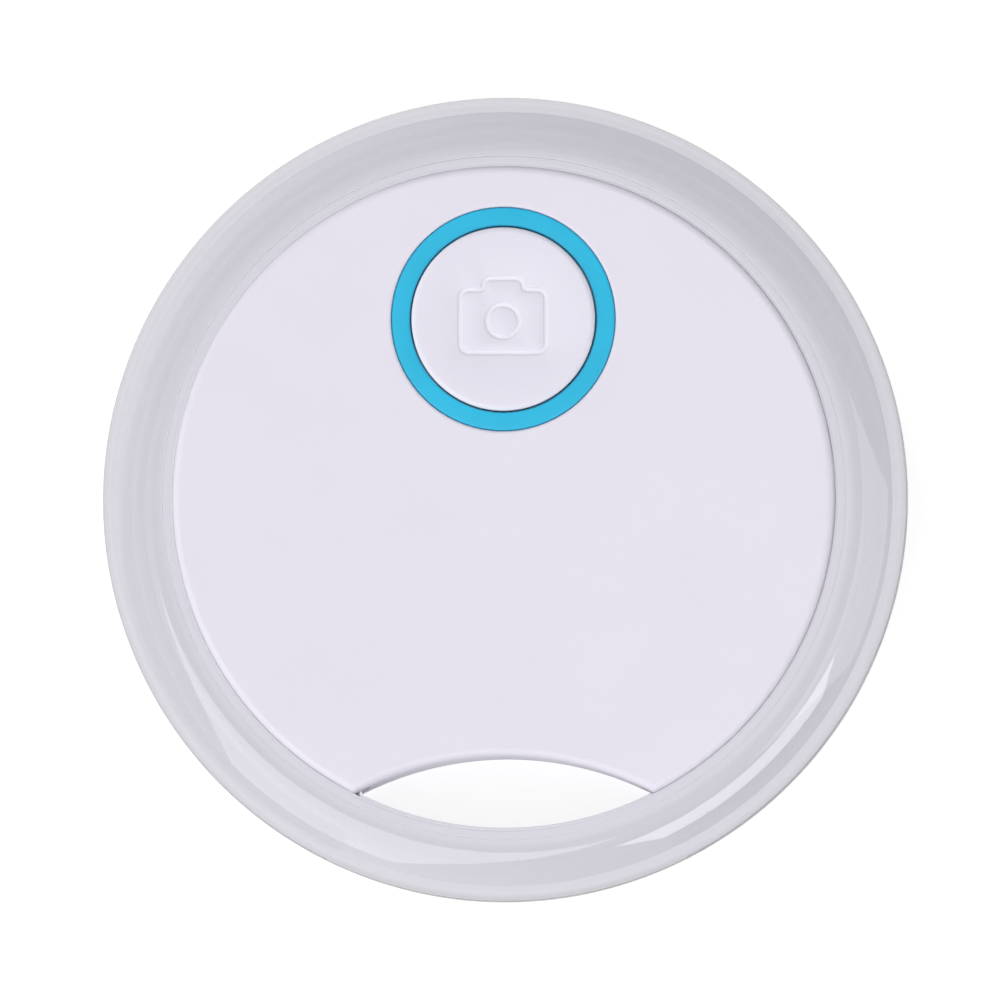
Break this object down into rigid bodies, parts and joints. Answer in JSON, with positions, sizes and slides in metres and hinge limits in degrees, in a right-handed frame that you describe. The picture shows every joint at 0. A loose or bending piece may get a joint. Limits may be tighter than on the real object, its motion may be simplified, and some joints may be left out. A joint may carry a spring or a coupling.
{
  "type": "bluetooth tracker tag",
  "caption": "Round flat key tag with a clear outer ring, a lens-shaped key eye, a push button in a coloured bezel and a bayonet battery door at the back.",
  "frame": {"origin": "middle of the tag at its resting face, the centre of the clear ring seen from the front", "axes": "+Z out of the front face, through the thickness; +Y from the key eye towards the button; +X to the right when the front face is looked at with the button at the top"},
  "size_m": [0.04, 0.04, 0.008],
  "materials": {
    "shell_white": "fine spark-eroded matte, cool white",
    "door_white": "fine matte, cool white",
    "button_white": "satin, cool white",
    "clear_plastic": "polished clear plastic",
    "bezel_cyan": "satin cyan",
    "seal_rubber": "black rubber",
    "screw_steel": "nickel-plated steel",
    "board_green": "solder mask over glass-epoxy board",
    "chip_black": "moulded epoxy",
    "can_metal": "plated steel",
    "antenna_ceramic": "fired ceramic",
    "passive_ceramic": "fired ceramic with tinned ends",
    "switch_black": "moulded nylon",
    "switch_white": "moulded acetal",
    "contact_gold": "gold-flashed spring bronze",
    "cell_steel": "stainless steel",
    "gasket_dark": "moulded polypropylene",
    "core_dark": "pressed powder",
    "piezo_brass": "rolled brass",
    "piezo_white": "silvered ceramic",
    "tape_cream": "adhesive tape"
  },
  "bodies": {
    "case": {"front_shell": "shell_white", "rear_shell": "shell_white", "clear_ring": "clear_plastic", "button_bezel": "bezel_cyan", "case_screws": "screw_steel", "circuit_board": "board_green", "bluetooth_chip": "chip_black", "crystal": "can_metal", "chip_antenna": "antenna_ceramic", "chip_components": "passive_ceramic", "switch_base": "switch_black", "switch_dome": "can_metal", "switch_cover": "can_metal", "positive_contact": "contact_gold", "negative_contact": "contact_gold", "battery_can": "cell_steel", "battery_gasket": "gasket_dark", "battery_cap": "cell_steel", "battery_core": "core_dark", "piezo_plate": "piezo_brass", "piezo_ceramic": "piezo_white", "piezo_adhesive": "tape_cream", "piezo_contacts": "contact_gold"},
    "button": {"button_cap": "button_white"},
    "plunger": {"switch_plunger": "switch_white"},
    "door": {"battery_door": "door_white", "door_seal": "seal_rubber"}
  },
  "joints": [
    {"name": "button_press", "type": "slide", "parent": "case", "child": "button", "axis": [0, 0, -1], "range_m": [0, 0.00025], "stiffness_N_per_m": 1200, "springref_m": -0.0002, "deforming": ["switch_dome"]},
    {"name": "plunger_press", "type": "slide", "parent": "case", "child": "plunger", "axis": [0, 0, -1], "range_m": [0, 0.00025]},
    {"name": "door_twist", "type": "hinge", "parent": "case", "child": "door", "pos_m": [0, 0.001, 0], "axis": [0, 0, -1], "range_deg": [0, 40]}
  ],
  "couplings": [
    {"joint": "plunger_press", "follows": "button_press", "ratio": 1}
  ]
}
